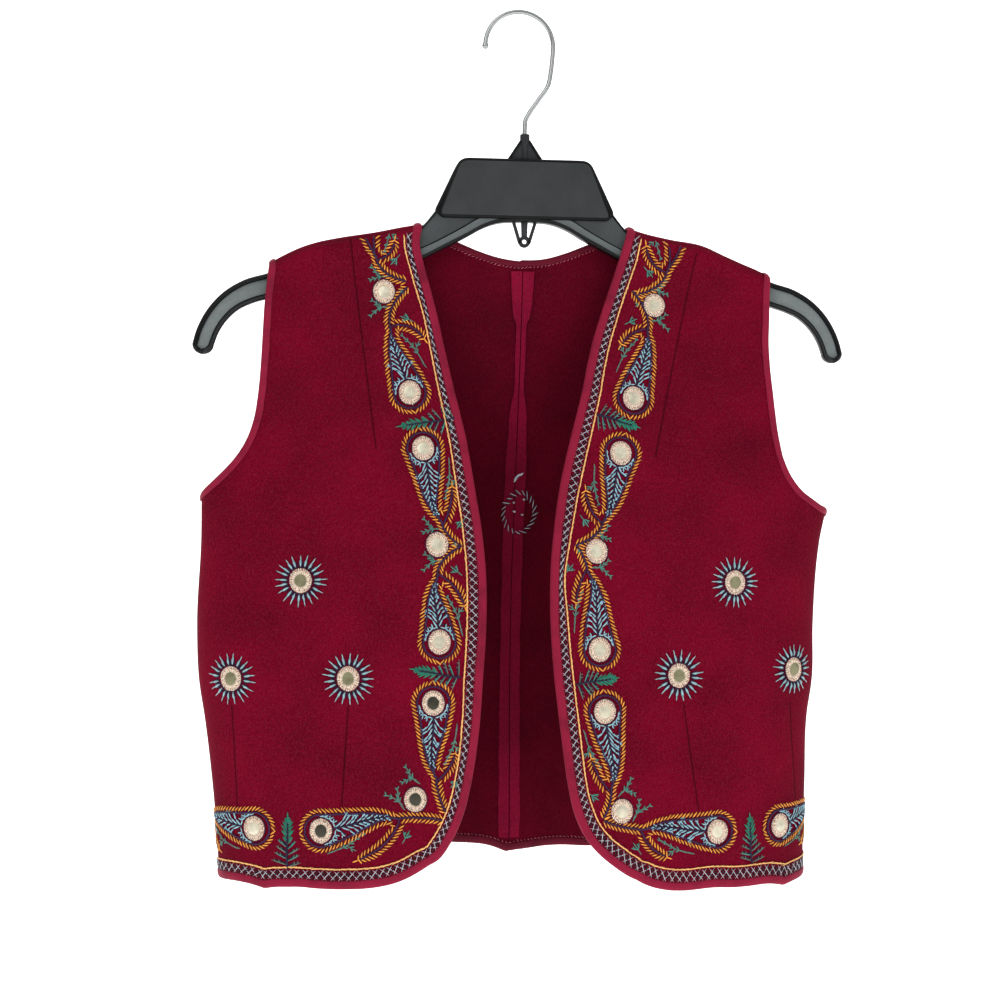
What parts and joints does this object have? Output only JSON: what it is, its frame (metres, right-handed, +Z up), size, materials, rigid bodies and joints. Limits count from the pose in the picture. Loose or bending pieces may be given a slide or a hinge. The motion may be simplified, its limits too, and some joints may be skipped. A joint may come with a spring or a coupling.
{
  "type": "embroidered vest on a clothes hanger",
  "caption": "Cropped sleeveless wool vest with an open front, rounded front hems, bound edges and mirror-work embroidery, hanging on a moulded hanger with a wire hook.",
  "frame": {"origin": "inside of the hook's top, where a rail carries it, in the middle of the hanger's thickness", "axes": "+Z up, +X to the wearer's left, -Y towards the open front"},
  "size_m": [0.4316, 0.1307, 0.5726],
  "materials": {
    "wool": "matt, finely woven and slightly napped",
    "binding": "bias-cut strip with a slight sheen",
    "mirror": "small silvered glass discs",
    "plastic": "moulded, satin",
    "wire": "bright plated wire"
  },
  "bodies": {
    "root": {"front_right": "wool", "back_right": "wool", "back_allowance_right": "wool", "front_binding_right": "binding", "armhole_binding_right": "binding", "front_left": "wool", "back_left": "wool", "back_allowance_left": "wool", "front_binding_left": "binding", "armhole_binding_left": "binding", "neck_binding": "binding", "hem_binding": "binding", "mirror_right_01": "mirror", "mirror_right_02": "mirror", "mirror_right_03": "mirror", "mirror_right_04": "mirror", "mirror_right_05": "mirror", "mirror_right_06": "mirror", "mirror_right_07": "mirror", "mirror_right_08": "mirror", "mirror_right_09": "mirror", "mirror_right_10": "mirror", "mirror_right_11": "mirror", "mirror_right_12": "mirror", "mirror_left_01": "mirror", "mirror_left_02": "mirror", "mirror_left_03": "mirror", "mirror_left_04": "mirror", "mirror_left_05": "mirror", "mirror_left_06": "mirror", "mirror_left_07": "mirror", "mirror_left_08": "mirror", "mirror_left_09": "mirror", "mirror_left_10": "mirror", "mirror_left_11": "mirror", "mirror_left_12": "mirror", "hanger_body": "plastic", "hanger_hook": "wire"}
  },
  "joints": []
}
